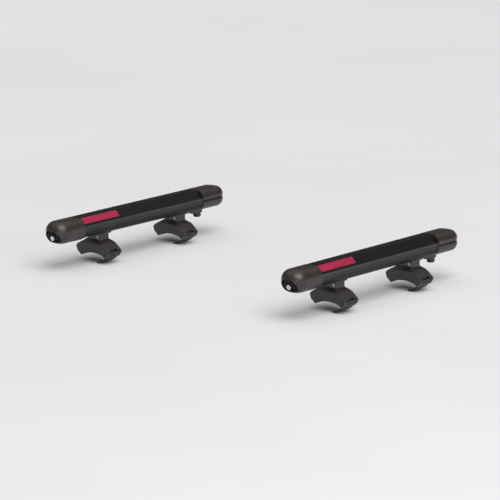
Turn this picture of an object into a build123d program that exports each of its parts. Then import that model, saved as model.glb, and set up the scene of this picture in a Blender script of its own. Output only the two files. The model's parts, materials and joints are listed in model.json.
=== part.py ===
from build123d import *
import os
from math import cos, radians, sin

# A pair of clamshell ski carriers for a car's roof. +X runs from the latch end to the hinge end,
# +Y from the front carrier to the rear one, +Z up. The origin is at the bottom centre of the pair.
# Each carrier is drawn about its own middle (x = y = 0) and stands on its claws at z = 0.

# --- driving dimensions, millimetres ---
BODY_LENGTH = 622.0
CARRIER_SPACING = 770.0
NOSE_LENGTH = 90.0
FAR_CAP_LENGTH = 94.5
SEAM = 0.5
RUNNING_CLEARANCE = 0.06

# beams, pads, inlay and label
BODY_TOP = 128.0
TOP_HALF_WIDTH = 12.0
BODY_HALF_WIDTH = 32.5
SHOULDER_DROP = 19.5
SPLIT_Z = 100.4
JAW_GAP = 0.8
BODY_BOTTOM = 78.0
BEAM_WALL = 2.4
INLAY_THICKNESS = 1.6
INLAY_EDGE_Z = 108.0
CHAMBER_FLOOR = 114.6
UPPER_BAY = [(21.5, 112), (30, 103.5)]
LOWER_SKIN = [(32.5, 89), (29.5, 81.5), (24, 78)]
LOWER_BAY = [(30.1, 89.5), (27.3, 83), (22.8, 80.4)]
PAD_GROOVE_YS = (-20, -10, 0, 10, 20)
PAD_GROOVE_RADIUS = 2.2
LABEL_LENGTH = 126.0
LABEL_WIDTH = 18.5
LABEL_THICKNESS = 0.6
LABEL_LIFT = 1.6

# latch end
NOSE_HALF_WIDTH = 35.0
NOSE_TOP = 127.5
NOSE_BOTTOM = 72.0
NOSE_WALL = 3.2
NOSE_RIM_RADIUS = 25.0
NOSE_PLAN_RADIUS = 33.0
BUTTON_WIDTH = 48.0
BUTTON_BOTTOM = 79.0
BUTTON_TOP = 108.0
BUTTON_RECESS = 5.0
BUTTON_DEPTH = 24.0
LOCK_RADIUS = 6.0
LOCK_Z = 87.5
LOCK_CAM_REACH = 7.4
LATCH_PIN_RADIUS = 2.0
HOOK_Z = 86.0
HOOK_HALF_WIDTH = 6.0
HOOK_CLEARANCE = 0.8
STEM_Z = (76.0, 78.0)
STEM_GAP = 0.6
SPRING_Z = 101.0
SPRING_SPACE = 18.0
TONGUE_Z = (80.5, 84.0)
TONGUE_HALF_WIDTH = 22.0

# hinge end
CAP_TOP = 126.5
CAP_BOTTOM = 75.5
CAP_HALF_WIDTH = 34.0
CAP_PLAN_RADIUS = 32.0
UPPER_CAP_RIM_RADIUS = 20.0
LOWER_CAP_RIM_RADIUS = 18.0
NOTCH_RADIUS = 4.0
PIVOT_Z = 112.6
PIVOT_INSET = 12.4
LOBE_RADIUS = 12.0
HINGE_PIN_RADIUS = 3.0
EAR_HALF_WIDTH = 10.0
EAR_HALF_LENGTH = 5.0
EAR_RADIUS = 8.0
CARRIAGE_Z = (83.0, 88.0)
ROD_X = 229.0
ROD_RADIUS = 3.0
HOUSING_START = 193.0
HOUSING_HALF_WIDTH = 11.0
HOUSING_BOTTOM = 66.0
BOSS_RADIUS = 10.0
BOSS_BOTTOM = 53.5

# feet
FOOT_PLACES = {"near": -136.0, "far": 149.0}
TOWER_LENGTH = 50.0
NECK_LENGTH = 32.0
NECK_Z = (50.0, 60.0)
SEAT_HALF_LENGTH = 24.0
SEAT_YS = (-22.0, 26.0)
SEAT_THICKNESS = 4.0
NECK_BOLT_Y = -10.5
NECK_BOLT_Z = 66.5
ARCH_TOP = 28.0
PAD_THICKNESS = 2.4
CLAW_WIDTH = 38.0
CLAW_THICKNESS = 3.2
CLAMP_Y = -37.5
STUD_RADIUS = 3.0
STUD_TOP = 43.0
LUG_HALF = 7.0
LUG_Z = (24.0, 30.4)
WHEEL_RADIUS = 11.0
WHEEL_Z = (31.0, 38.0)
WHEEL_NOTCHES = 14

# --- places worked out from them ---
NEAR_TIP = -BODY_LENGTH / 2
FAR_TIP = BODY_LENGTH / 2
NOSE_SEAM = NEAR_TIP + NOSE_LENGTH
BEAM_START = NOSE_SEAM + SEAM
SKIN_START = BEAM_START + BEAM_WALL
BEAM_END = FAR_TIP - FAR_CAP_LENGTH
CAP_START = BEAM_END + SEAM
PIVOT_X = FAR_TIP - PIVOT_INSET
UPPER_BOTTOM = SPLIT_Z + JAW_GAP / 2
LOWER_TOP = SPLIT_Z - JAW_GAP / 2
BEAM_FLOOR = BODY_BOTTOM + BEAM_WALL
CHAMBER_TOP = BODY_TOP - INLAY_THICKNESS - BEAM_WALL
BUTTON_BACK = NEAR_TIP + BUTTON_DEPTH
FLANGE_BACK = BUTTON_BACK + 3
LOCK_FACE = NEAR_TIP + 7
SPRING_STOP = FLANGE_BACK + SPRING_SPACE
HOOK_X = NOSE_SEAM - 10
RIB_X = (HOOK_X - 6, HOOK_X + 6)
STRIKER_X = BEAM_START + 1.0
HOOK_TIP = STRIKER_X - HOOK_CLEARANCE


# --- drawing helpers ---
def outline(*points, radius=0.0):
    """A closed polygon, with every corner rounded if a radius is given."""
    shape = Polygon(*points, align=None)
    return fillet(shape.vertices(), radius) if radius else shape


def mirrored(points):
    """A half outline with y >= 0, from top to bottom, closed with its mirror image."""
    return list(points) + [(-y, z) for y, z in reversed(points)]


def along_x(shape, x0, x1):
    """A sketch drawn in (y, z), extruded from x0 to x1."""
    return extrude(Plane.YZ.offset(x0) * shape, x1 - x0, dir=(1, 0, 0))


def along_y(shape, y0, y1):
    """A sketch drawn in (x, z), extruded from y0 to y1."""
    return extrude(Plane.XZ.offset(-y0) * shape, y1 - y0, dir=(0, 1, 0))


def along_z(shape, z0, z1):
    """A sketch drawn in (x, y), extruded from z0 to z1."""
    return extrude(Plane.XY.offset(z0) * shape, z1 - z0, dir=(0, 0, 1))


def block(x, y, z):
    """A box between the pairs of limits x, y and z."""
    size = (x[1] - x[0], y[1] - y[0], z[1] - z[0])
    return Pos(x[0], y[0], z[0]) * Box(*size, align=(Align.MIN, Align.MIN, Align.MIN))


def rod_x(radius, x0, x1, y, z):
    return along_x(Pos(y, z) * Circle(radius), x0, x1)


def rod_y(radius, y0, y1, x, z):
    return along_y(Pos(x, z) * Circle(radius), y0, y1)


def rod_z(radius, z0, z1, x, y):
    return along_z(Pos(x, y) * Circle(radius), z0, z1)


def coil(radius, wire, length, turns):
    """A compression spring along +Z from z = 0, with its wire ends inside its length."""
    path = Helix(pitch=(length - wire) / turns, height=length - wire, radius=radius)
    profile = Plane(path @ 0, z_dir=path % 0) * Circle(wire / 2)
    return Pos(0, 0, wire / 2) * sweep(profile, path=path, is_frenet=True)


# --- beams, pads, inlay and label ---
def upper_half(offset):
    """The upper jaw's half outline, set in from its outer skin by offset."""
    side = BODY_HALF_WIDTH - offset
    top = BODY_TOP - offset
    shoulder = BODY_TOP - SHOULDER_DROP - offset * 0.4
    return [(TOP_HALF_WIDTH - offset * 0.4, top), (side - 1.0, shoulder), (side, UPPER_BOTTOM)]


def upper_beam():
    outer = outline(*mirrored(upper_half(0)))
    chamber = outline(*mirrored([(9.8, CHAMBER_TOP), (18.9, CHAMBER_FLOOR)]))
    bay = outline(*mirrored(UPPER_BAY + [(30, UPPER_BOTTOM - 1)]))
    return along_x(outer - inlay_section() - chamber - bay, SKIN_START, BEAM_END)


def inlay_section():
    """The top flat and both slanted shoulders, one inlay thickness deep."""
    skin = outline(*mirrored(upper_half(0))) - outline(*mirrored(upper_half(INLAY_THICKNESS)))
    return skin & Pos(0, INLAY_EDGE_Z) * Rectangle(90, 40, align=(Align.CENTER, Align.MIN))


def upper_inlay():
    return along_x(inlay_section(), SKIN_START, BEAM_END)


def label():
    """A thin plate bonded to the slanted face on the -Y side."""
    low_y = upper_half(0)[1][0]
    rise = SHOULDER_DROP
    run = low_y - TOP_HALF_WIDTH
    lift = LABEL_LIFT / (rise**2 + run**2) ** 0.5
    centre = Vector(0, -(TOP_HALF_WIDTH + run / 2 - run * lift), BODY_TOP - rise / 2 + rise * lift)
    face = Plane(centre, x_dir=(1, 0, 0), z_dir=(0, -rise, run))
    plate = face * RectangleRounded(LABEL_LENGTH, LABEL_WIDTH, 1.5)
    place = BEAM_START + 4 + LABEL_LENGTH / 2
    return Pos(place, 0, 0) * extrude(plate, LABEL_THICKNESS)


def grooved(body, face_z):
    """A pad's section with its row of grip grooves cut along its face."""
    return body - [Pos(y, face_z) * Circle(PAD_GROOVE_RADIUS) for y in PAD_GROOVE_YS]


def upper_pad():
    body = outline(*mirrored(UPPER_BAY + [(30, UPPER_BOTTOM)]))
    return along_x(grooved(body, UPPER_BOTTOM), BEAM_START + 14, BEAM_END - 2)


def foot_screw_places(x):
    return [(x + dx, y) for dx in (-10, 10) for y in (NECK_BOLT_Y, 18)]


def cap_screw_places():
    return [(x, y) for x in (BEAM_START + 10, BEAM_END - 10) for y in (-17.5, 17.5)]


def lower_beam():
    outer = outline(*mirrored([(BODY_HALF_WIDTH, LOWER_TOP)] + LOWER_SKIN))
    outer = fillet([v for v in outer.vertices() if v.Y < LOWER_TOP - 1], 4)
    bay = outline(*mirrored([(LOWER_BAY[0][0], LOWER_TOP + 1)] + LOWER_BAY))
    beam = along_x(outer - bay, BEAM_START, BEAM_END)
    for foot_x in FOOT_PLACES.values():
        for x, y in foot_screw_places(foot_x):
            beam -= rod_z(2.6, BODY_BOTTOM - 1, BODY_BOTTOM + 5, x, y)
    for x, y in cap_screw_places():
        beam -= rod_z(2.1, BODY_BOTTOM - 1, BODY_BOTTOM + 5, x, y)
    return beam


def lower_pad():
    body = outline(*mirrored([(LOWER_BAY[0][0], LOWER_TOP)] + LOWER_BAY))
    pad = along_x(grooved(body, LOWER_TOP), BEAM_START + 22, BEAM_END - 22)
    for foot_x in FOOT_PLACES.values():
        for x, y in foot_screw_places(foot_x):
            pad -= rod_z(4.5, BEAM_FLOOR - 1, BEAM_FLOOR + 3, x, y)
    return pad


# --- latch end ---
def pebble(seam, tip, half_width, heights, plan_radius, low_radius, high_radius):
    """A beam end like a bullet: round in plan, its low and high rims rounded all the way."""
    plan = outline((seam, -half_width), (seam, half_width), (tip, half_width),
                   (tip, -half_width))
    plan = fillet([v for v in plan.vertices() if abs(v.X - tip) < 1], plan_radius)
    shape = along_z(plan, *heights)
    for z, radius in zip(heights, (low_radius, high_radius)):
        rim = [e for e in shape.edges() if abs(e.center().Z - z) < 0.01
               and abs(e.center().X - seam) > 0.01]
        shape = fillet(rim, radius)
    return shape


def nose_outer():
    return pebble(NOSE_SEAM, NEAR_TIP, NOSE_HALF_WIDTH, (NOSE_BOTTOM, NOSE_TOP),
                  NOSE_PLAN_RADIUS, NOSE_RIM_RADIUS, NOSE_RIM_RADIUS)


def arch(width, bottom, top):
    """An arch-topped outline in (y, z)."""
    rise = 14
    shape = outline(
        (-width / 2, bottom), (width / 2, bottom), (width / 2, top - rise),
        (width / 4, top - 2), (-width / 4, top - 2), (-width / 2, top - rise),
    )
    high = [v for v in shape.vertices() if v.Y > bottom + 1]
    shape = fillet(high, 7)
    low = [v for v in shape.vertices() if v.Y < bottom + 0.5]
    return fillet(low, 9)


def nose_bay(gap=0.0):
    """The housing's inner cross-section, set in by a gap."""
    inner = NOSE_HALF_WIDTH - NOSE_WALL - gap
    low = NOSE_BOTTOM + NOSE_WALL + gap
    high = NOSE_TOP - NOSE_WALL - gap
    return outline((-inner, low), (inner, low), (inner, high), (-inner, high), radius=20)


def nose_housing():
    nose = nose_outer() - along_x(nose_bay(), BUTTON_BACK - 0.3, NOSE_SEAM - NOSE_WALL)
    opening = arch(BUTTON_WIDTH + 1, BUTTON_BOTTOM - 0.5, BUTTON_TOP + 0.5)
    nose -= along_x(opening, NEAR_TIP - 1, BUTTON_BACK + 1)
    nose -= block((NOSE_SEAM - 5, NOSE_SEAM + 1), (-8, 8), (HOOK_Z, 103))
    spring_wall = (SPRING_STOP, SPRING_STOP + 3)
    ribs = block(spring_wall, (-NOSE_HALF_WIDTH, NOSE_HALF_WIDTH), (94, NOSE_TOP))
    for ends in ((-11, -8), (8, 11)):
        ribs += block(RIB_X, ends, (NOSE_BOTTOM, HOOK_Z + 5))
    nose += ribs & nose_outer()
    tongue = block((NOSE_SEAM - 1, NOSE_SEAM + 19), (-TONGUE_HALF_WIDTH, TONGUE_HALF_WIDTH),
                   TONGUE_Z)
    nose += tongue - block((NOSE_SEAM, NOSE_SEAM + 20), (-12, 12), (80, 85))
    nose -= rod_y(LATCH_PIN_RADIUS + RUNNING_CLEARANCE, -12, 12, HOOK_X, HOOK_Z)
    for x, y in cap_screw_places():
        if x < 0:
            nose -= rod_z(2.1, BODY_BOTTOM - 1, BODY_BOTTOM + 7, x, y)
    return nose


def push_button():
    """A domed plate in the arch, with a flange behind it and a stem to the latch hook."""
    plate = along_x(arch(BUTTON_WIDTH, BUTTON_BOTTOM, BUTTON_TOP), NEAR_TIP, BUTTON_BACK)
    button = plate & Pos(BUTTON_RECESS, 0, 0) * nose_outer()
    flange = arch(BUTTON_WIDTH + 6, BUTTON_BOTTOM - 3.5, BUTTON_TOP + 3) & nose_bay(0.5)
    button += along_x(flange, BUTTON_BACK, FLANGE_BACK)
    button += block((FLANGE_BACK - 1, HOOK_X - 2.5 - STEM_GAP), (-5, 5), STEM_Z)
    button += rod_x(3.2, FLANGE_BACK - 1, FLANGE_BACK + 6, 0, SPRING_Z)
    return button - rod_x(LOCK_RADIUS + RUNNING_CLEARANCE, NEAR_TIP, FLANGE_BACK + 1, 0, LOCK_Z)


def lock_cylinder():
    lock = rod_x(LOCK_RADIUS, LOCK_FACE, FLANGE_BACK + 10, 0, LOCK_Z)
    lock -= block((LOCK_FACE - 1, LOCK_FACE + 3), (-0.8, 0.8), (LOCK_Z - 3.4, LOCK_Z + 3.4))
    cam = block((FLANGE_BACK + 6, FLANGE_BACK + 9), (-2.5, 2.5), (LOCK_Z, LOCK_Z + LOCK_CAM_REACH))
    return lock + cam


def button_spring():
    start = FLANGE_BACK + 0.3
    spring = coil(radius=5.0, wire=1.0, length=SPRING_STOP - 0.3 - start, turns=6)
    return Pos(start, 0, SPRING_Z) * Rot(0, 90, 0) * spring


def latch_hook():
    x, z = HOOK_X, HOOK_Z
    side = outline(
        (x - 2.5, z - 10), (x + 1.5, z - 10), (x + 4, z - 3), (x + 4.5, z + 5.9),
        (HOOK_TIP, z + 5.9), (HOOK_TIP, z + 8.5), (x + 6, z + 11), (x - 1, z + 11),
        (x - 4, z + 5), (x - 4, z - 1.5), (x - 2.5, z - 5),
    )
    hook = along_y(side, -HOOK_HALF_WIDTH, HOOK_HALF_WIDTH)
    return hook - rod_y(LATCH_PIN_RADIUS + RUNNING_CLEARANCE, -7, 7, x, z)


def latch_pin():
    return rod_y(LATCH_PIN_RADIUS, -11.5, 11.5, HOOK_X, HOOK_Z)


def striker_plate():
    """Closes the upper beam's latch end; its tooth hangs into the lower jaw."""
    plate = along_x(outline(*mirrored(upper_half(0))), BEAM_START, SKIN_START)
    tongue = block((BEAM_START + 2, BEAM_START + 12), (-10, 10), (117, 121))
    stem = block((STRIKER_X + 3, STRIKER_X + 6), (-12, 12), (HOOK_Z + 1.5, UPPER_BOTTOM + 8))
    tooth = block((STRIKER_X, STRIKER_X + 4), (-7, 7), (HOOK_Z + 1.5, HOOK_Z + 5.5))
    foot = block((BEAM_START, STRIKER_X + 6), (-12, 12), (UPPER_BOTTOM + 3, UPPER_BOTTOM + 8))
    return plate + tongue + stem + tooth + foot


# --- hinge end ---
def upper_hinge_cap():
    lobe = Pos(PIVOT_X, PIVOT_Z) * Circle(LOBE_RADIUS)
    side = lobe + outline((CAP_START, UPPER_BOTTOM), (PIVOT_X, UPPER_BOTTOM),
                          (PIVOT_X, PIVOT_Z + LOBE_RADIUS), (PIVOT_X - 16, CAP_TOP),
                          (CAP_START, CAP_TOP))
    cap = pebble(CAP_START, FAR_TIP, CAP_HALF_WIDTH, (UPPER_BOTTOM, CAP_TOP),
                 CAP_PLAN_RADIUS, NOTCH_RADIUS, UPPER_CAP_RIM_RADIUS)
    cap &= along_y(side, -CAP_HALF_WIDTH, CAP_HALF_WIDTH)
    cap -= block((CAP_START + 4, PIVOT_X - 22), (-24, 24), (UPPER_BOTTOM - 1, 117))
    slot = EAR_HALF_WIDTH + 0.5
    cap -= block((PIVOT_X - 9, FAR_TIP + 1), (-slot, slot), (UPPER_BOTTOM - 1, PIVOT_Z + 8.6))
    cap -= rod_y(HINGE_PIN_RADIUS + RUNNING_CLEARANCE, -23, 23, PIVOT_X, PIVOT_Z)
    return cap + block((BEAM_END - 18, CAP_START + 1), (-12, 12), (117, 121))


def lower_hinge_cap():
    cap = pebble(CAP_START, FAR_TIP, CAP_HALF_WIDTH, (CAP_BOTTOM, LOWER_TOP),
                 CAP_PLAN_RADIUS, LOWER_CAP_RIM_RADIUS, NOTCH_RADIUS)
    cavity = EAR_HALF_WIDTH + 1
    cap -= block((CAP_START + 3, PIVOT_X + EAR_HALF_LENGTH + 0.6), (-cavity, cavity),
                 (CARRIAGE_Z[0], LOWER_TOP + 1))
    cap -= rod_z(ROD_RADIUS + RUNNING_CLEARANCE, 70, CARRIAGE_Z[0] + 1, ROD_X, 0)
    cap += block((BEAM_END - 19, CAP_START + 1), (-TONGUE_HALF_WIDTH, TONGUE_HALF_WIDTH),
                 TONGUE_Z)
    for x, y in cap_screw_places():
        if x > 0:
            cap -= rod_z(2.1, BODY_BOTTOM - 1, BODY_BOTTOM + 7, x, y)
    return cap


def hinge_carriage():
    """Rides up and down on its rod inside the lower cap and holds the hinge pin."""
    start, end = PIVOT_X - EAR_HALF_LENGTH, PIVOT_X + EAR_HALF_LENGTH
    carriage = block((ROD_X - 8, end), (-EAR_HALF_WIDTH, EAR_HALF_WIDTH), CARRIAGE_Z)
    ear = outline((start, CARRIAGE_Z[0]), (end, CARRIAGE_Z[0]), (end, PIVOT_Z),
                  (start, PIVOT_Z))
    ear += Pos(PIVOT_X, PIVOT_Z) * Circle(EAR_RADIUS)
    carriage += along_y(ear, -EAR_HALF_WIDTH, EAR_HALF_WIDTH)
    carriage += rod_z(ROD_RADIUS, 56, CARRIAGE_Z[0] + 1, ROD_X, 0)
    return carriage - rod_y(HINGE_PIN_RADIUS + RUNNING_CLEARANCE, -12, 12, PIVOT_X, PIVOT_Z)


def hinge_pin():
    return rod_y(HINGE_PIN_RADIUS, -22.5, 22.5, PIVOT_X, PIVOT_Z)


def spring_housing():
    """A block under the far end, with a round cup for the floating hinge's spring."""
    end = ROD_X + BOSS_RADIUS
    side = outline((HOUSING_START, BODY_BOTTOM), (BEAM_END, BODY_BOTTOM),
                   (BEAM_END, CAP_BOTTOM), (end, CAP_BOTTOM),
                   (end, HOUSING_BOTTOM), (HOUSING_START + 8, HOUSING_BOTTOM),
                   (HOUSING_START, HOUSING_BOTTOM + 5))
    housing = along_y(side, -HOUSING_HALF_WIDTH, HOUSING_HALF_WIDTH)
    housing = fillet(housing.edges().filter_by(Axis.Z), 4)
    boss = rod_z(BOSS_RADIUS, BOSS_BOTTOM, HOUSING_BOTTOM + 3, ROD_X, 0)
    boss = fillet(boss.faces().sort_by(Axis.Z)[0].edges(), 3)
    housing += boss
    return housing - rod_z(7.2, BOSS_BOTTOM + 1.6, CAP_BOTTOM + 1, ROD_X, 0)


def rod_nut():
    nut = along_z(Pos(ROD_X, 0) * RegularPolygon(6.3, 6), 56, 59.4)
    return nut - rod_z(ROD_RADIUS + 0.02, 55, 60, ROD_X, 0)


def hinge_spring():
    return Pos(ROD_X, 0, 59.7) * coil(radius=5.0, wire=1.2, length=15.6, turns=4)


# --- feet ---
def arch_space(lift=0.0):
    """The crossbar's side of the foot, in (y, z): a shallow arc between the two toes."""
    rear, crown, front = (36, 19), (-2, ARCH_TOP - lift), (-39.5, 18.5)
    arc = ThreePointArc(rear, crown, front)
    edge = Polyline(front, (-60, 0), (60, 0), rear)
    return make_face(arc + edge)


def foot_tower(x):
    """A curved tower: toes over the crossbar, a narrow neck, and a seat under the beam."""
    side = outline((24, 78), (24, 62), (35, 53.5), (53, 43), (57, 37), (52, 25), (41, 17),
                   (40, 14), (-40, 14), (-47.5, 21), (-52.5, 28), (-52.5, 33), (-44, 40.5),
                   (-29, 52), (-17, 58), (-17, 78))
    round_corners = [v for v in side.vertices() if v.X > 48 or v.X < -47]
    side = fillet(round_corners, 2.5)
    wide, narrow = TOWER_LENGTH / 2, NECK_LENGTH / 2
    front = outline((x - wide, 0), (x + wide, 0), (x + wide, NECK_Z[0]),
                    (x + narrow, NECK_Z[1]), (x + narrow, 78), (x - narrow, 78),
                    (x - narrow, NECK_Z[1]), (x - wide, NECK_Z[0]))
    tower = along_x(side - arch_space(), x - wide, x + wide) & along_y(front, -70, 70)
    seat = block((x - SEAT_HALF_LENGTH, x + SEAT_HALF_LENGTH), SEAT_YS,
                 (BODY_BOTTOM - SEAT_THICKNESS, BODY_BOTTOM))
    tower += fillet(seat.edges().filter_by(Axis.Z), 6)
    channel = outline((-36.5, 10), (-36.5, 17.8), (-41, 21.6), (-45.5, 27.8), (-49.2, 34.5),
                      (-60, 34.5), (-60, 10))
    tower -= along_x(channel, x - CLAW_WIDTH / 2 - 0.5, x + CLAW_WIDTH / 2 + 0.5)
    tower -= wheel_room(x)
    tower -= rod_x(3.0, x - TOWER_LENGTH, x + TOWER_LENGTH, NECK_BOLT_Y, NECK_BOLT_Z)
    for outward in (-1, 1):
        face = x + outward * narrow
        start, end = sorted((face - outward * 3, face + outward * 12))
        tower -= rod_x(5.2, start, end, NECK_BOLT_Y, NECK_BOLT_Z)
    for sx, sy in foot_screw_places(x):
        tower -= rod_z(2.6, 70.6, 80, sx, sy)
    return tower


def wheel_room(x):
    """The space for the clamp wheel, the stud and the claw's lug, open to the front."""
    room = WHEEL_RADIUS + 0.4
    low, high = WHEEL_Z[0] - 0.25, WHEEL_Z[1] + 0.25
    space = rod_z(room, low, high, x, CLAMP_Y)
    space += block((x - room, x + room), (-60, CLAMP_Y), (low, high))
    space += rod_z(STUD_RADIUS + 0.4, 12, STUD_TOP + 1, x, CLAMP_Y)
    wide = LUG_HALF + 0.4
    return space + block((x - wide, x + wide), (-60, CLAMP_Y + wide), (10, LUG_Z[1] + 0.4))


def saddle_pads():
    """A rubber skin under each arch, clear of the claw's lug."""
    skin = (arch_space(0) - arch_space(PAD_THICKNESS)) & Pos(0, 22) * Rectangle(48, 20)
    return [along_x(skin, x - 22, x + 22) for x in FOOT_PLACES.values()]


def claw(x):
    """A curved strip under the crossbar, with a lug and a threaded stud inside the foot."""
    outer = ThreePointArc((-53, 33), (-38.5, 12.5), (-8, 0))
    inner = ThreePointArc((-8, CLAW_THICKNESS), (-36, 14.7), (-50, 33))
    side = make_face(outer + Line(outer @ 1, inner @ 0) + inner + Line(inner @ 1, outer @ 0))
    strip = along_x(side, x - CLAW_WIDTH / 2, x + CLAW_WIDTH / 2)
    strip += block((x - LUG_HALF, x + LUG_HALF), (-51, CLAMP_Y + LUG_HALF), LUG_Z)
    return strip + rod_z(STUD_RADIUS, LUG_Z[1] - 1, STUD_TOP, x, CLAMP_Y)


def clamp_wheel(x):
    """A knurled nut that turns inside the foot; its rim shows at the front."""
    rim = Circle(WHEEL_RADIUS)
    reach = WHEEL_RADIUS + 0.6
    for k in range(WHEEL_NOTCHES):
        angle = radians(360 / WHEEL_NOTCHES * k)
        rim -= Pos(reach * cos(angle), reach * sin(angle)) * Circle(1.3)
    wheel = along_z(Pos(x, CLAMP_Y) * rim, *WHEEL_Z)
    return wheel - rod_z(STUD_RADIUS + RUNNING_CLEARANCE, 25, 45, x, CLAMP_Y)


def neck_bolts():
    """A cross bolt through each foot's neck: a round head at one end, a nut at the other."""
    bolts = []
    for x in FOOT_PLACES.values():
        near, far = x - NECK_LENGTH / 2, x + NECK_LENGTH / 2
        bolt = rod_x(2.9, near - 1, far + 0.5, NECK_BOLT_Y, NECK_BOLT_Z)
        bolt += rod_x(4.9, near - 1.2, near + 2.9, NECK_BOLT_Y, NECK_BOLT_Z)
        bolt += rod_x(4.9, far - 2.9, far, NECK_BOLT_Y, NECK_BOLT_Z)
        bolts.append(bolt)
    return bolts


def foot_screws():
    """Screws from inside the lower beam down into each foot; the pad covers their heads."""
    screws = []
    for foot_x in FOOT_PLACES.values():
        for x, y in foot_screw_places(foot_x):
            head = rod_z(4.2, BEAM_FLOOR, BEAM_FLOOR + 2.4, x, y)
            screws.append(head + rod_z(2.5, 71, BEAM_FLOOR + 1, x, y))
    return screws


def cap_screws():
    screws = []
    for x, y in cap_screw_places():
        screws.append(rod_z(3.6, 76, 78, x, y) + rod_z(2.0, 77, 83.8, x, y))
    return screws


# --- assembly ---
def carrier_parts():
    parts = {
        "lower_beam": lower_beam(),
        "lower_pad": lower_pad(),
        "nose_housing": nose_housing(),
        "lower_hinge_cap": lower_hinge_cap(),
        "upper_beam": upper_beam(),
        "upper_inlay": upper_inlay(),
        "label": label(),
        "upper_pad": upper_pad(),
        "striker_plate": striker_plate(),
        "upper_hinge_cap": upper_hinge_cap(),
        "push_button": push_button(),
        "lock_cylinder": lock_cylinder(),
        "latch_hook": latch_hook(),
        "latch_pin": latch_pin(),
        "button_spring": button_spring(),
        "hinge_carriage": hinge_carriage(),
        "hinge_pin": hinge_pin(),
        "hinge_spring": hinge_spring(),
        "spring_housing": spring_housing(),
        "rod_nut": rod_nut(),
        "saddle_pads": saddle_pads(),
        "neck_bolts": neck_bolts(),
        "foot_screws": foot_screws(),
        "cap_screws": cap_screws(),
    }
    for end, x in FOOT_PLACES.items():
        parts[end + "_foot"] = foot_tower(x)
        parts[end + "_claw"] = claw(x)
        parts[end + "_clamp_wheel"] = clamp_wheel(x)
    return parts


def main():
    os.makedirs("parts", exist_ok=True)
    parts = carrier_parts()
    for carrier, side in (("front", -1), ("rear", 1)):
        place = Pos(0, side * CARRIER_SPACING / 2, 0)
        for name, shape in parts.items():
            if isinstance(shape, list):
                shape = Compound(children=[place * solid for solid in shape])
            else:
                shape = place * shape
            export_step(shape, f"parts/{carrier}_{name}.step")


main()
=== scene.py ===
import json
import math

import bmesh
import bpy
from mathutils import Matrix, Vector


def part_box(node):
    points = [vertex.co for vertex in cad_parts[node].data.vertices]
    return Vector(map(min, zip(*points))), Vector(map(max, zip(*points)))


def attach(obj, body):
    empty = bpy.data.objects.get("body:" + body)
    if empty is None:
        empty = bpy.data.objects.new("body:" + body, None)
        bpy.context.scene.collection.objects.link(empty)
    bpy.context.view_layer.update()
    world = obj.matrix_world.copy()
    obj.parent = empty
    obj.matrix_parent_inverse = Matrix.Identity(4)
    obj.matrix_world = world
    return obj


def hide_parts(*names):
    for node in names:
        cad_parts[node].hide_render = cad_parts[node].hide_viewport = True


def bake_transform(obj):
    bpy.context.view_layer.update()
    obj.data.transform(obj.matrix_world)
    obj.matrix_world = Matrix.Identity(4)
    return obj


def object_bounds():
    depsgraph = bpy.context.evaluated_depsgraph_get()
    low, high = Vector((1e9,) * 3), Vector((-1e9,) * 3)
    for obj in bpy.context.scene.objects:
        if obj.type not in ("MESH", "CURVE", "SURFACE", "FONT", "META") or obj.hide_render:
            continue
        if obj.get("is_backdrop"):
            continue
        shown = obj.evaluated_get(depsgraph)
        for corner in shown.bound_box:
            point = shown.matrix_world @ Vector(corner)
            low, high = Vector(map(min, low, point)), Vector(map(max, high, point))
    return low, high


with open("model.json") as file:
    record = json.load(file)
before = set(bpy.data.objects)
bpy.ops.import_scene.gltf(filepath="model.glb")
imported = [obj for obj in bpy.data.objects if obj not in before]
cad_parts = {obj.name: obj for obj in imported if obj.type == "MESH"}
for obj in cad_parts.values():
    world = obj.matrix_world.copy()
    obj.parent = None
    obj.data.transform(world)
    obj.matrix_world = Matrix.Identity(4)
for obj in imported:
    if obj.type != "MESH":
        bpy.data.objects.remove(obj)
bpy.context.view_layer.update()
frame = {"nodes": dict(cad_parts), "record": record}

MM = 0.001
CARRIER_Y = {"front": -0.385, "rear": 0.385}
NODES = frame["nodes"]
RECORD = frame["record"]
BODY = {n: body for body, names in RECORD["behaviour"]["bodies"].items() for n in names}
SLOT = {s["node"]: s["material_slot"] for s in RECORD["subparts"]}


# ---------------------------------------------------------------- materials
# Noise scales are in cells per metre, reaches and bump depths in metres.
EDGE_MATCH_FLAT = 0.985
EDGE_MATCH_SHARP = 0.80
EDGE_SAMPLES = 4
FINE_GRAIN = 0.00005
COARSE_GRAIN = 0.00006
ORANGE_PEEL = 0.00004
HAIRLINE = 0.000008
DRAWN_LINE = 0.00002
MICRO_PIT = 0.00001
RUBBER_SKIN = 0.00007
METAL_SHARE = 0.85
BEAM_STRETCH = (0.4, 40, 40)
SCUFF_STRETCH = (6, 90, 90)
# Heights in metres across which the caps turn darker towards the bottom: painted shade.
CAP_PAINTED_SHADE = (0.076, 0.098)
# Heights in metres across which the beams turn darker towards the bottom: painted shade.
BEAM_PAINTED_SHADE = (0.088, 0.104)
BARE_STEEL = (0.3, 0.29, 0.28)


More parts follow.
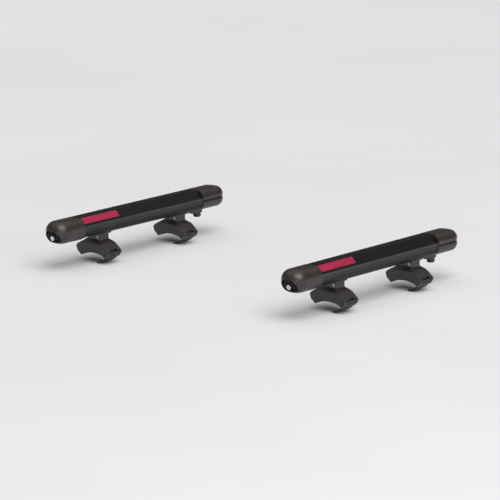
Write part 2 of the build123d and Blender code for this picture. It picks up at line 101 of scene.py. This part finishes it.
class Shader:
    """One material's node tree around a Principled shader."""

    def __init__(self, name, colour, roughness, metallic=0.0, **sockets):
        self.material = bpy.data.materials.new(name)
        self.material.use_nodes = True
        self.tree = self.material.node_tree
        self.shader = self.tree.nodes["Principled BSDF"]
        self.shader.inputs["Base Color"].default_value = (*colour, 1)
        self.shader.inputs["Roughness"].default_value = roughness
        self.shader.inputs["Metallic"].default_value = metallic
        for socket, value in sockets.items():
            self.shader.inputs[socket.replace("_", " ")].default_value = value
        self.place = self.node("ShaderNodeTexCoord").outputs["Object"]

    def node(self, kind, inputs=None, **settings):
        made = self.tree.nodes.new(kind)
        for key, value in settings.items():
            setattr(made, key, value)
        for key, value in (inputs or {}).items():
            if isinstance(value, bpy.types.NodeSocket):
                self.tree.links.new(value, made.inputs[key])
            else:
                made.inputs[key].default_value = value
        return made

    def stretched(self, scale):
        return self.node("ShaderNodeMapping", {"Vector": self.place, "Scale": scale}).outputs[0]

    def noise(self, scale, detail=3.0, vector=None, roughness=0.5):
        inputs = {"Vector": vector or self.place, "Scale": scale, "Detail": detail,
                  "Roughness": roughness}
        return self.node("ShaderNodeTexNoise", inputs).outputs["Fac"]

    def spread(self, value, low, high, from_low=0.3, from_high=0.7):
        inputs = {"Value": value, "From Min": from_low, "From Max": from_high,
                  "To Min": low, "To Max": high}
        return self.node("ShaderNodeMapRange", inputs).outputs[0]

    def mix(self, factor, first, second):
        mixed = self.node("ShaderNodeMix", data_type="RGBA")
        for socket, value in ((mixed.inputs["Factor"], factor), (mixed.inputs["A"], first),
                              (mixed.inputs["B"], second)):
            if isinstance(value, bpy.types.NodeSocket):
                self.tree.links.new(value, socket)
            else:
                socket.default_value = value if socket.type == "VALUE" else (*value, 1)
        return next(o for o in mixed.outputs if o.type == "RGBA")

    def bump(self, *layers):
        """Each layer is a height socket with its depth in metres."""
        normal = None
        for height, depth in layers:
            inputs = {"Height": height, "Distance": depth, "Strength": 1.0}
            if normal:
                inputs["Normal"] = normal
            normal = self.node("ShaderNodeBump", inputs).outputs[0]
        self.tree.links.new(normal, self.shader.inputs["Normal"])

    def paint(self, socket, value):
        self.tree.links.new(value, self.shader.inputs[socket])

    def height(self, low, high):
        """0 below the lower height and 1 above the upper one, at rest."""
        split = self.node("ShaderNodeSeparateXYZ", {0: self.place})
        return self.spread(split.outputs["Z"], 0, 1, low, high)

    def edges(self, reach=0.0012):
        """1 on edges, 0 on flat ground: how far a rounded normal turns from the true one."""
        rounded = self.node("ShaderNodeBevel", {"Radius": reach}, samples=EDGE_SAMPLES)
        true = self.node("ShaderNodeNewGeometry").outputs["Normal"]
        turned = {0: rounded.outputs[0], 1: true}
        match = self.node("ShaderNodeVectorMath", turned, operation="DOT_PRODUCT")
        return self.spread(match.outputs["Value"], 0.0, 1.0, EDGE_MATCH_FLAT, EDGE_MATCH_SHARP)


def shade(colour, factor):
    """The colour made darker or lighter."""
    return tuple(c * factor for c in colour)


def times(s, first, second):
    """Two masks multiplied, in the node tree of the shader s."""
    return s.node("ShaderNodeMath", {0: first, 1: second}, operation="MULTIPLY").outputs[0]


def moulded_plastic(name, colour, roughness=0.5, shine=0.6, painted_shade=None):
    """Spark-eroded moulded plastic: pebble grain, mottling, rubbed edges, and painted shade that
    darkens it below the given heights.
    """
    s = Shader(name, colour, roughness, Specular_IOR_Level=shine)
    mottled = s.mix(s.spread(s.noise(24, 5), 0, 1), shade(colour, 0.86), shade(colour, 1.12))
    if painted_shade:
        # Painted shade: a quarter as bright below the lower height, the plain mottled tone above
        # the upper one.
        mottled = s.mix(s.height(*painted_shade), shade(colour, 0.25), mottled)
    dusty = s.mix(s.spread(s.noise(5200, 2), 0, 0.3), mottled, shade(colour, 1.9))
    rubbed = times(s, s.edges(), s.spread(s.noise(140, 4), 0.05, 0.4))
    s.paint("Base Color", s.mix(rubbed, dusty, shade(colour, 2.6)))
    s.paint("Roughness", s.spread(s.noise(60, 3), roughness - 0.06, roughness + 0.08))
    s.bump((s.noise(1500, 2), FINE_GRAIN), (s.noise(420, 3), COARSE_GRAIN))
    return s.material


def gloss_plastic(name, colour, roughness=0.2):
    """Polished plastic: slight orange peel, hairline scuffs along the beam, a little dust."""
    s = Shader(name, colour, roughness, Specular_IOR_Level=0.42)
    scuffs = s.noise(9, 4, s.stretched(SCUFF_STRETCH), 0.6)
    s.paint("Roughness", s.spread(scuffs, roughness, roughness + 0.14, 0.45, 0.75))
    dusty = s.mix(s.spread(s.noise(16, 5), 0, 0.6, 0.45, 0.8), colour, shade(colour, 2.6))
    s.paint("Base Color", s.mix(times(s, s.edges(0.0008), 0.25), dusty, shade(colour, 6)))
    s.bump((s.noise(26, 2), ORANGE_PEEL), (scuffs, HAIRLINE))
    return s.material


def drawn_metal(name, colour, roughness):
    """Anodised metal: fine lines along the beam, painted shade that darkens it below, rubbed paler
    on its edges.
    """
    s = Shader(name, colour, roughness, METAL_SHARE)
    lines = s.noise(30, 5, s.stretched(BEAM_STRETCH), 0.65)
    s.paint("Roughness", s.spread(lines, roughness - 0.08, roughness + 0.12))
    tone = s.mix(s.spread(s.noise(12, 3), 0, 1), shade(colour, 0.84), shade(colour, 1.14))
    streaked = s.mix(s.spread(lines, 0, 0.35), tone, shade(colour, 1.4))
    # Painted shade: 0.22 times as bright below the lower height, the streaked tone above the upper
    # one.
    shaded_below = s.mix(s.height(*BEAM_PAINTED_SHADE), shade(colour, 0.22), streaked)
    rubbed = times(s, s.edges(0.0009), s.spread(s.noise(60, 4), 0.1, 0.6))
    s.paint("Base Color", s.mix(rubbed, shaded_below, shade(colour, 2.4)))
    s.bump((lines, DRAWN_LINE), (s.noise(900, 2), 1.2 * MICRO_PIT))
    return s.material


def turned_metal(name, colour, roughness):
    """Small plated parts: fine cloudy finish with tiny pits."""
    s = Shader(name, colour, roughness, 1.0)
    s.paint("Roughness", s.spread(s.noise(300, 4), roughness - 0.05, roughness + 0.14))
    s.paint("Base Color", s.mix(s.spread(s.noise(90, 3), 0, 1), shade(colour, 0.8), colour))
    s.bump((s.noise(2200, 2), MICRO_PIT))
    return s.material


def powder_coat(name, colour, roughness):
    """Powder-coated steel: orange-peel texture, chipped to bare metal along its edges."""
    s = Shader(name, colour, roughness, Specular_IOR_Level=0.45)
    chipped = times(s, s.edges(0.0007), s.spread(s.noise(420, 5), 0, 1, 0.54, 0.6))
    tone = s.mix(s.spread(s.noise(30, 4), 0, 1), shade(colour, 0.8), shade(colour, 1.5))
    s.paint("Base Color", s.mix(chipped, tone, BARE_STEEL))
    s.paint("Roughness", s.spread(s.noise(90, 4), roughness - 0.05, roughness + 0.12))
    s.bump((s.noise(700, 2), FINE_GRAIN))
    return s.material


def soft_rubber(name, colour):
    """Matte rubber: fine skin texture, dusty high spots."""
    s = Shader(name, colour, 0.78, Specular_IOR_Level=0.3)
    dusty = s.spread(s.noise(70, 5), 0, 0.5, 0.45, 0.75)
    s.paint("Base Color", s.mix(dusty, colour, shade(colour, 2.2)))
    s.paint("Roughness", s.spread(s.noise(50, 3), 0.7, 0.88))
    s.bump((s.noise(1100, 3), RUBBER_SKIN), (s.noise(180, 2), FINE_GRAIN))
    return s.material


def printed_film(name, colour):
    """A printed film under clear lacquer, slightly uneven in tone, worn at its edges."""
    s = Shader(name, colour, 0.3, Coat_Weight=0.3, Coat_Roughness=0.1)
    tone = s.spread(s.noise(45, 5), 0, 1)
    base = s.mix(tone, shade(colour, 0.8), shade(colour, 1.12))
    s.paint("Base Color", s.mix(times(s, s.edges(0.0006), 0.3), base, shade(colour, 0.45)))
    s.paint("Roughness", s.spread(s.noise(400, 3), 0.24, 0.38))
    s.bump((s.noise(600, 2), MICRO_PIT))
    return s.material


BROWN_GREY = (0.028, 0.020, 0.018)
DARK_BROWN_GREY = (0.025, 0.020, 0.020)
MATERIALS = {
    # The caps get painted shade, darker towards their bottom.
    "cap_plastic": moulded_plastic("cap_plastic", BROWN_GREY, 0.32, painted_shade=CAP_PAINTED_SHADE),
    "foot_plastic": moulded_plastic("foot_plastic", DARK_BROWN_GREY, 0.36),
    "button_plastic": moulded_plastic("button_plastic", (0.005, 0.0035, 0.0035), 0.6, shine=0.2),
    "carriage_plastic": moulded_plastic("carriage_plastic", (0.012, 0.012, 0.012), 0.5),
    "wheel_plastic": moulded_plastic("wheel_plastic", (0.012, 0.010, 0.010), 0.45),
    "inlay_gloss": gloss_plastic("inlay_gloss", (0.0018, 0.0018, 0.0018)),
    "label_magenta": printed_film("label_magenta", (0.36, 0.006, 0.052)),
    "beam_metal": drawn_metal("beam_metal", (0.075, 0.080, 0.078), 0.32),
    "pad_rubber": soft_rubber("pad_rubber", (0.011, 0.011, 0.011)),
    "striker_steel": turned_metal("striker_steel", (0.05, 0.05, 0.05), 0.38),
    "pin_steel": turned_metal("pin_steel", (0.55, 0.55, 0.55), 0.28),
    "spring_steel": turned_metal("spring_steel", (0.45, 0.45, 0.46), 0.3),
    "screw_steel": turned_metal("screw_steel", (0.2, 0.2, 0.2), 0.36),
    "bolt_bright": turned_metal("bolt_bright", (0.24, 0.23, 0.23), 0.26),
    "lock_metal": turned_metal("lock_metal", (0.86, 0.86, 0.87), 0.2),
    "claw_metal": powder_coat("claw_metal", (0.010, 0.009, 0.009), 0.4),
}


# ---------------------------------------------------------------- mesh helpers
WELD_DISTANCE = 0.01 * MM
FLAT_ANGLE = math.radians(0.4)
EDGE_ANGLE = math.radians(32)
SLAB_ROOT = 0.6 * MM


def new_piece(name, mesh, node, rides=True):
    """A linked piece with its node's slot and material. It rides with the node's body, unless
    rides is false."""
    piece = bpy.data.objects.new(name, mesh)
    bpy.context.scene.collection.objects.link(piece)
    mesh.materials.clear()
    mesh.materials.append(MATERIALS[SLOT[node]])
    if rides:
        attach(piece, BODY[node])
    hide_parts(node)
    return piece


def copied_mesh(node):
    """The node's mesh, welded, with its flat faces merged."""
    bm = bmesh.new()
    bm.from_mesh(NODES[node].data)
    bmesh.ops.remove_doubles(bm, verts=bm.verts, dist=WELD_DISTANCE)
    bmesh.ops.dissolve_limit(bm, angle_limit=FLAT_ANGLE, verts=bm.verts, edges=bm.edges,
                             delimit={"NORMAL"})
    return bm


def finished(bm, name):
    """A smooth-shaded mesh made from the bmesh, which is freed."""
    bmesh.ops.recalc_face_normals(bm, faces=bm.faces)
    mesh = bpy.data.meshes.new(name)
    bm.to_mesh(mesh)
    bm.free()
    for face in mesh.polygons:
        face.use_smooth = True
    return mesh


def soften(piece, width, segments):
    """Rounds the sharp edges and keeps the flats flat."""
    bevel = piece.modifiers.new("rounded_edges", "BEVEL")
    bevel.width = width
    bevel.segments = segments
    bevel.limit_method = "ANGLE"
    bevel.angle_limit = EDGE_ANGLE
    bevel.miter_outer = "MITER_ARC"
    normals = piece.modifiers.new("flat_faces", "WEIGHTED_NORMAL")
    normals.keep_sharp = True


def refined(node, width, segments, extra):
    """Builds a CAD node's piece with rounded edges, plus any extra moulded detail."""
    bm = copied_mesh(node)
    if extra:
        extra(bm, node)
    soften(new_piece(node + "_shell", finished(bm, node), node), width, segments)


def add_slab(bm, outline, origin, across, up, out, thickness):
    """A raised panel: an outline in the (across, up) plane, standing out by its thickness."""
    ring = []
    for depth in (-SLAB_ROOT, thickness):
        ring.append([bm.verts.new(origin + across * a + up * b + out * depth)
                     for a, b in outline])
    count = len(outline)
    bm.faces.new(ring[1])
    bm.faces.new(list(reversed(ring[0])))
    for i in range(count):
        j = (i + 1) % count
        bm.faces.new((ring[0][i], ring[0][j], ring[1][j], ring[1][i]))


# ---------------------------------------------------------------- details
# The raised crescent on a foot's side, y from the foot's middle and z, both in millimetres.
SHIELD = [(50, 36.5), (47, 41), (39, 46.3), (-21, 46.3), (-32, 43.5), (-43, 36.5), (-46.5, 31),
          (-42, 22.6)]
SHIELD_REAR = (46, 28)
ARCH_TOP = 32.2
ARCH_MIDDLE = -2
ARCH_FALL = 0.0062
ARCH_YS = range(-36, 40, 6)
SHIELD_HEIGHT = 0.8 * MM
FOOT_HALF_LENGTH = 25 * MM

# The ribs, and where the foot's sloping front face starts and ends.
RIB_LENGTH = 38 * MM
RIB_WIDTH = 3.4 * MM
RIB_HEIGHT = 0.9 * MM
SLOPE_TOP = Vector((0, -29, 52)) * MM
SLOPE_END = Vector((0, -44, 40.5)) * MM
RIB_PLACES = (0.14, 0.45, 0.76)


def add_ribs(bm, middle_x, middle_y):
    """Grip ribs across the sloping front face of a foot."""
    along = (SLOPE_END - SLOPE_TOP).normalized()
    out = Vector((0, along.z, -along.y))
    half = RIB_LENGTH / 2
    rib = [(-half, 0), (half, 0), (half, RIB_WIDTH), (-half, RIB_WIDTH)]
    for place in RIB_PLACES:
        origin = SLOPE_TOP.lerp(SLOPE_END, place) + Vector((middle_x, middle_y, 0))
        add_slab(bm, rib, origin - along * RIB_WIDTH / 2, Vector((1, 0, 0)), along, out,
                 RIB_HEIGHT)


def foot_relief(bm, node):
    """A raised crescent on both side faces of a foot, above the arch, and ribs in front."""
    low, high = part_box(node)
    middle_x = (low.x + high.x) / 2
    middle_y = CARRIER_Y[node.split("_")[0]]
    arch = [(y, ARCH_TOP - ARCH_FALL * (y - ARCH_MIDDLE) ** 2) for y in ARCH_YS]
    shield = [(y * MM, z * MM) for y, z in SHIELD + arch + [SHIELD_REAR]]
    for side in (-1, 1):
        origin = Vector((middle_x + side * FOOT_HALF_LENGTH, middle_y, 0))
        add_slab(bm, shield, origin, Vector((0, 1, 0)), Vector((0, 0, 1)),
                 Vector((side, 0, 0)), SHIELD_HEIGHT)
    add_ribs(bm, middle_x, middle_y)


FINE = 0.3 * MM
ROUND_FROM = 0.6 * MM
EDGE_WIDTH = {
    "nose_housing": 0.9 * MM, "upper_hinge_cap": 1.0 * MM, "lower_hinge_cap": 1.0 * MM,
    "push_button": 0.7 * MM, "near_foot": 1.4 * MM, "far_foot": 1.4 * MM,
    "spring_housing": 0.8 * MM, "upper_beam": 0.35 * MM, "lower_beam": 0.5 * MM,
    "label": 0.2 * MM, "near_claw": 0.6 * MM, "far_claw": 0.6 * MM,
}
RELIEF = {"near_foot": foot_relief, "far_foot": foot_relief}
# What presses each spring, and the axis that the spring lies along.
PRESSED_BY = {"button_spring": ("push_button", "x"), "hinge_spring": ("hinge_carriage", "z")}


def build_spring(node, axis):
    """A coil baked in place, riding with no body. Its upper or inner end and its other end are
    worked out but not used.
    """
    low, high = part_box(node)
    fixed = (low + high) / 2
    moving = fixed.copy()
    setattr(fixed, axis, getattr(high, axis))
    setattr(moving, axis, getattr(low, axis))
    spring = new_piece(node + "_shell", finished(copied_mesh(node), node), node, rides=False)
    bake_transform(spring)


def build_carrier(carrier):
    """Every node of one carrier, as a finished piece."""
    for node in sorted(n for n in NODES if n.startswith(carrier + "_")):
        kind = node[len(carrier) + 1:]
        if kind in PRESSED_BY:
            presser, axis = PRESSED_BY[kind]
            build_spring(node, axis)
            continue
        width = EDGE_WIDTH.get(kind, FINE)
        segments = 3 if width > ROUND_FROM else 2
        refined(node, width, segments, RELIEF.get(kind))


# ---------------------------------------------------------------- stage
FLOOR_SIZE = 400
FLOOR_GREY = (0.80, 0.80, 0.80)
FLOOR_DARK = (0.79, 0.79, 0.79)
FLOOR_PALE = (0.82, 0.82, 0.82)
# World strengths, and the heights (the sine of the elevation) between which they change.
DIM = 0.06
HORIZON = 0.72
OVERHEAD = 0.75
HORIZON_BAND = (0.04, 0.12)
OVERHEAD_BAND = (0.45, 0.95)
SUN_STRENGTH = 2.0
SUN_SPREAD = math.radians(50)
SUN_DIRECTION = (0.35, 0.8, -1.25)
# Each area light: place, size and power.
SIDE_FILL = ((-1.2, -3.4, 1.5), (3.2, 2.2), 22)
CORNER_GLINT = ((-3.6, -3.4, 0.75), (0.4, 0.9), 14)
LIGHT_TARGET = (0, 0, 0.05)
CAMERA_PLACE = (-6.569, -5.764, 2.111)
LENS = 262
SENSOR = 36
VIEW_DISTANCE = 200


def build_floor():
    """A plain pale floor, wide enough to reach the horizon."""
    bpy.ops.mesh.primitive_plane_add(size=FLOOR_SIZE, location=(0, 0, 0))
    floor = bpy.context.object
    floor.name = "floor"
    s = Shader("floor_paper", FLOOR_GREY, 1.0, Specular_IOR_Level=0.0)
    s.paint("Base Color", s.mix(s.spread(s.noise(1.5, 2), 0, 1), FLOOR_DARK, FLOOR_PALE))
    floor.data.materials.append(s.material)
    floor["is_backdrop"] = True


def add_light(name, place, size, power):
    """A rectangular area light that looks at the object."""
    light = bpy.data.lights.new(name, "AREA")
    light.shape = "RECTANGLE"
    light.size, light.size_y = size
    light.energy = power
    lamp = bpy.data.objects.new(name, light)
    lamp.location = place
    lamp.rotation_euler = (Vector(LIGHT_TARGET) - Vector(place)).to_track_quat("-Z", "Y").to_euler()
    bpy.context.scene.collection.objects.link(lamp)


def ramp(tree, value, low, high, at_low, at_high):
    """A value that runs from at_low to at_high while the input runs from low to high."""
    node = tree.nodes.new("ShaderNodeMapRange")
    tree.links.new(value, node.inputs["Value"])
    for socket, number in (("From Min", low), ("From Max", high), ("To Min", at_low),
                           ("To Max", at_high)):
        node.inputs[socket].default_value = number
    return node.outputs[0]


def build_world():
    """A plain studio surround: pale at the horizon, dim above it and brighter overhead."""
    world = bpy.data.worlds.new("studio")
    world.use_nodes = True
    tree = world.node_tree
    place = tree.nodes.new("ShaderNodeTexCoord")
    split = tree.nodes.new("ShaderNodeSeparateXYZ")
    tree.links.new(place.outputs["Generated"], split.inputs[0])
    overhead = ramp(tree, split.outputs["Z"], *OVERHEAD_BAND, DIM, OVERHEAD)
    horizon = ramp(tree, split.outputs["Z"], *HORIZON_BAND, HORIZON, DIM)
    brighter = tree.nodes.new("ShaderNodeMath")
    brighter.operation = "MAXIMUM"
    tree.links.new(overhead, brighter.inputs[0])
    tree.links.new(horizon, brighter.inputs[1])
    background = tree.nodes["Background"]
    tree.links.new(brighter.outputs[0], background.inputs["Strength"])
    background.inputs["Color"].default_value = (1, 1, 1, 1)
    bpy.context.scene.world = world


def build_lights():
    """A broad soft key from above, a side fill, and a low light for the nose's corner."""
    sun = bpy.data.lights.new("soft_key", "SUN")
    sun.energy = SUN_STRENGTH
    sun.angle = SUN_SPREAD
    lamp = bpy.data.objects.new("soft_key", sun)
    lamp.rotation_euler = Vector(SUN_DIRECTION).to_track_quat("-Z", "Y").to_euler()
    bpy.context.scene.collection.objects.link(lamp)
    add_light("side_fill", *SIDE_FILL)
    add_light("corner_glint", *CORNER_GLINT)


def build_camera():
    """A long lens from ahead of the latch end, to the object's -Y side and a little above it."""
    lo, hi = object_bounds()
    target = Vector(((lo[0] + hi[0]) / 2, (lo[1] + hi[1]) / 2, hi[2] * 0.5))
    data = bpy.data.cameras.new("camera")
    data.lens = LENS
    data.sensor_width = SENSOR
    data.clip_end = VIEW_DISTANCE
    camera = bpy.data.objects.new("camera", data)
    camera.location = CAMERA_PLACE
    camera.rotation_euler = (target - camera.location).to_track_quat("-Z", "Y").to_euler()
    bpy.context.scene.collection.objects.link(camera)
    bpy.context.scene.camera = camera
    bpy.context.scene.view_settings.view_transform = "Standard"


for carrier in CARRIER_Y:
    build_carrier(carrier)
build_floor()
build_world()
build_lights()
build_camera()
